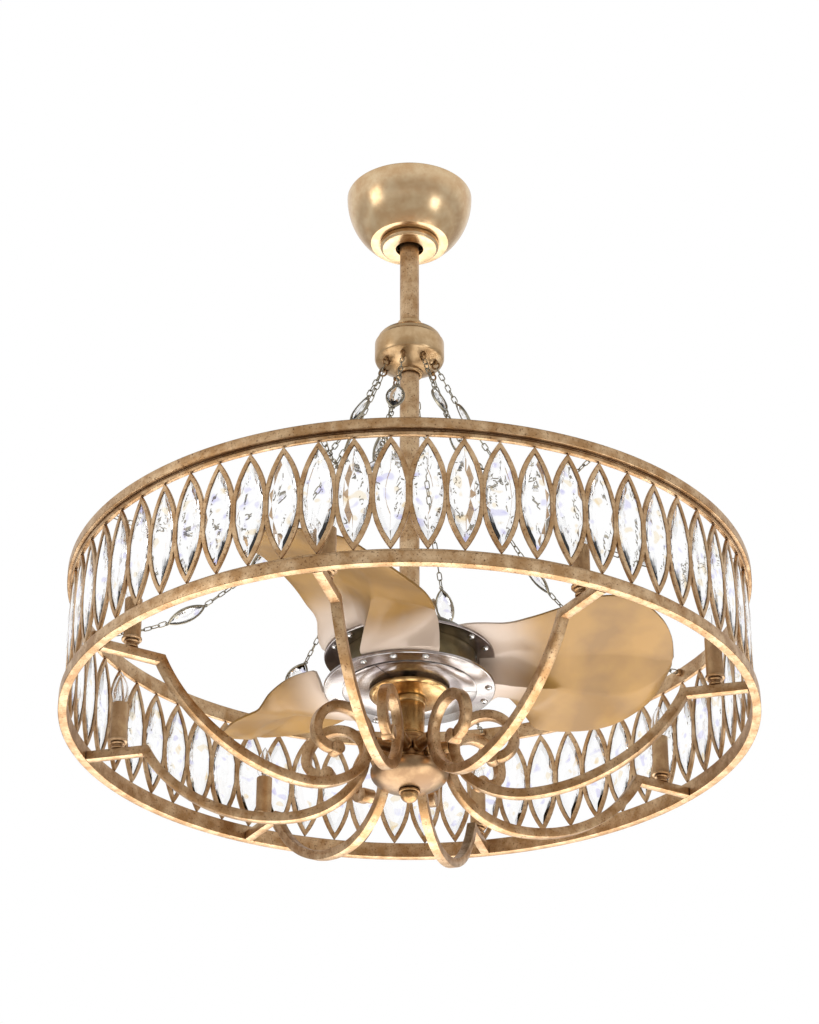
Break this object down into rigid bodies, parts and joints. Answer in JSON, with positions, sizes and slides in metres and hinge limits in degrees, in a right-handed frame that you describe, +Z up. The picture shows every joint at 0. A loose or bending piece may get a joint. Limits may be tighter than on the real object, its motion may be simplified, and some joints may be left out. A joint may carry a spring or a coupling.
{
  "type": "chandelier ceiling fan",
  "caption": "Chandelier ceiling fan: moulded blades turn inside a gold drum of framed crystal marquises hung on a rod, with scrolled arms, candle lights and draped crystal chains.",
  "frame": {"origin": "on the ceiling, at the middle of the ceiling bracket's top face", "axes": "+Z up along the hanging rod; the first arm points along -Y and the others follow every 45 degrees"},
  "size_m": [0.9132, 0.9132, 0.9593],
  "materials": {
    "antique_gold_leaf": "mottled antique gold leaf",
    "champagne_metal": "satin champagne",
    "zinc_plated_steel": "zinc plate",
    "aged_brass": "polished, darkened",
    "satin_silver": "satin",
    "olive_painted_steel": "matt paint",
    "motor_copper": "wound wire",
    "metallic_blade_plastic": "satin metallic gold",
    "gold_painted_sleeve": "antique gold paint",
    "clear_glass": "clear",
    "pewter_wire": "dark nickel",
    "crystal_in_gold_frames": "cut crystal in gold frames"
  },
  "bodies": {
    "bracket": {"ceiling_bracket": "zinc_plated_steel", "canopy": "champagne_metal", "canopy_collar": "champagne_metal"},
    "ball": {"hanger_ball": "zinc_plated_steel", "hanger_pin": "zinc_plated_steel"},
    "fixture": {"downrod": "antique_gold_leaf", "chain_hub": "champagne_metal", "lower_stem": "aged_brass", "motor_shaft": "zinc_plated_steel", "stator": "motor_copper", "upper_bearing": "zinc_plated_steel", "lower_bearing": "zinc_plated_steel", "switch_dish": "aged_brass", "light_column": "aged_brass", "arm_collar": "aged_brass", "bottom_bowl": "champagne_metal", "finial": "champagne_metal", "upper_hoop": "antique_gold_leaf", "lower_hoop": "antique_gold_leaf", "lattice": "crystal_in_gold_frames", "arm_1": "antique_gold_leaf", "arm_2": "antique_gold_leaf", "arm_3": "antique_gold_leaf", "arm_4": "antique_gold_leaf", "arm_5": "antique_gold_leaf", "arm_6": "antique_gold_leaf", "arm_7": "antique_gold_leaf", "arm_8": "antique_gold_leaf", "candle_1": "gold_painted_sleeve", "candle_2": "gold_painted_sleeve", "candle_3": "gold_painted_sleeve", "candle_4": "gold_painted_sleeve", "candle_5": "gold_painted_sleeve", "candle_6": "gold_painted_sleeve", "candle_7": "gold_painted_sleeve", "candle_8": "gold_painted_sleeve", "bulb_1": "clear_glass", "bulb_2": "clear_glass", "bulb_3": "clear_glass", "bulb_4": "clear_glass", "bulb_5": "clear_glass", "bulb_6": "clear_glass", "bulb_7": "clear_glass", "bulb_8": "clear_glass", "chain_1": "pewter_wire", "chain_2": "pewter_wire", "chain_3": "pewter_wire", "chain_4": "pewter_wire", "chain_5": "pewter_wire", "chain_6": "pewter_wire", "chain_7": "pewter_wire", "chain_8": "pewter_wire"},
    "rotor": {"rotor_casing": "olive_painted_steel", "magnet_ring": "zinc_plated_steel", "rotor_plate": "satin_silver", "rotor_cover": "satin_silver", "blade_1": "metallic_blade_plastic", "blade_2": "metallic_blade_plastic", "blade_3": "metallic_blade_plastic"}
  },
  "joints": [
    {"name": "swing_x", "type": "hinge", "parent": "bracket", "child": "ball", "pos_m": [0, 0, -0.04], "axis": [1, 0, 0], "range_deg": [-4, 4]},
    {"name": "swing_y", "type": "hinge", "parent": "ball", "child": "fixture", "pos_m": [0, 0, -0.04], "axis": [0, 1, 0], "range_deg": [-4, 4]},
    {"name": "rotor_spin", "type": "hinge", "parent": "fixture", "child": "rotor", "pos_m": [0, 0, -0.75], "axis": [0, 0, 1], "continuous": true}
  ]
}
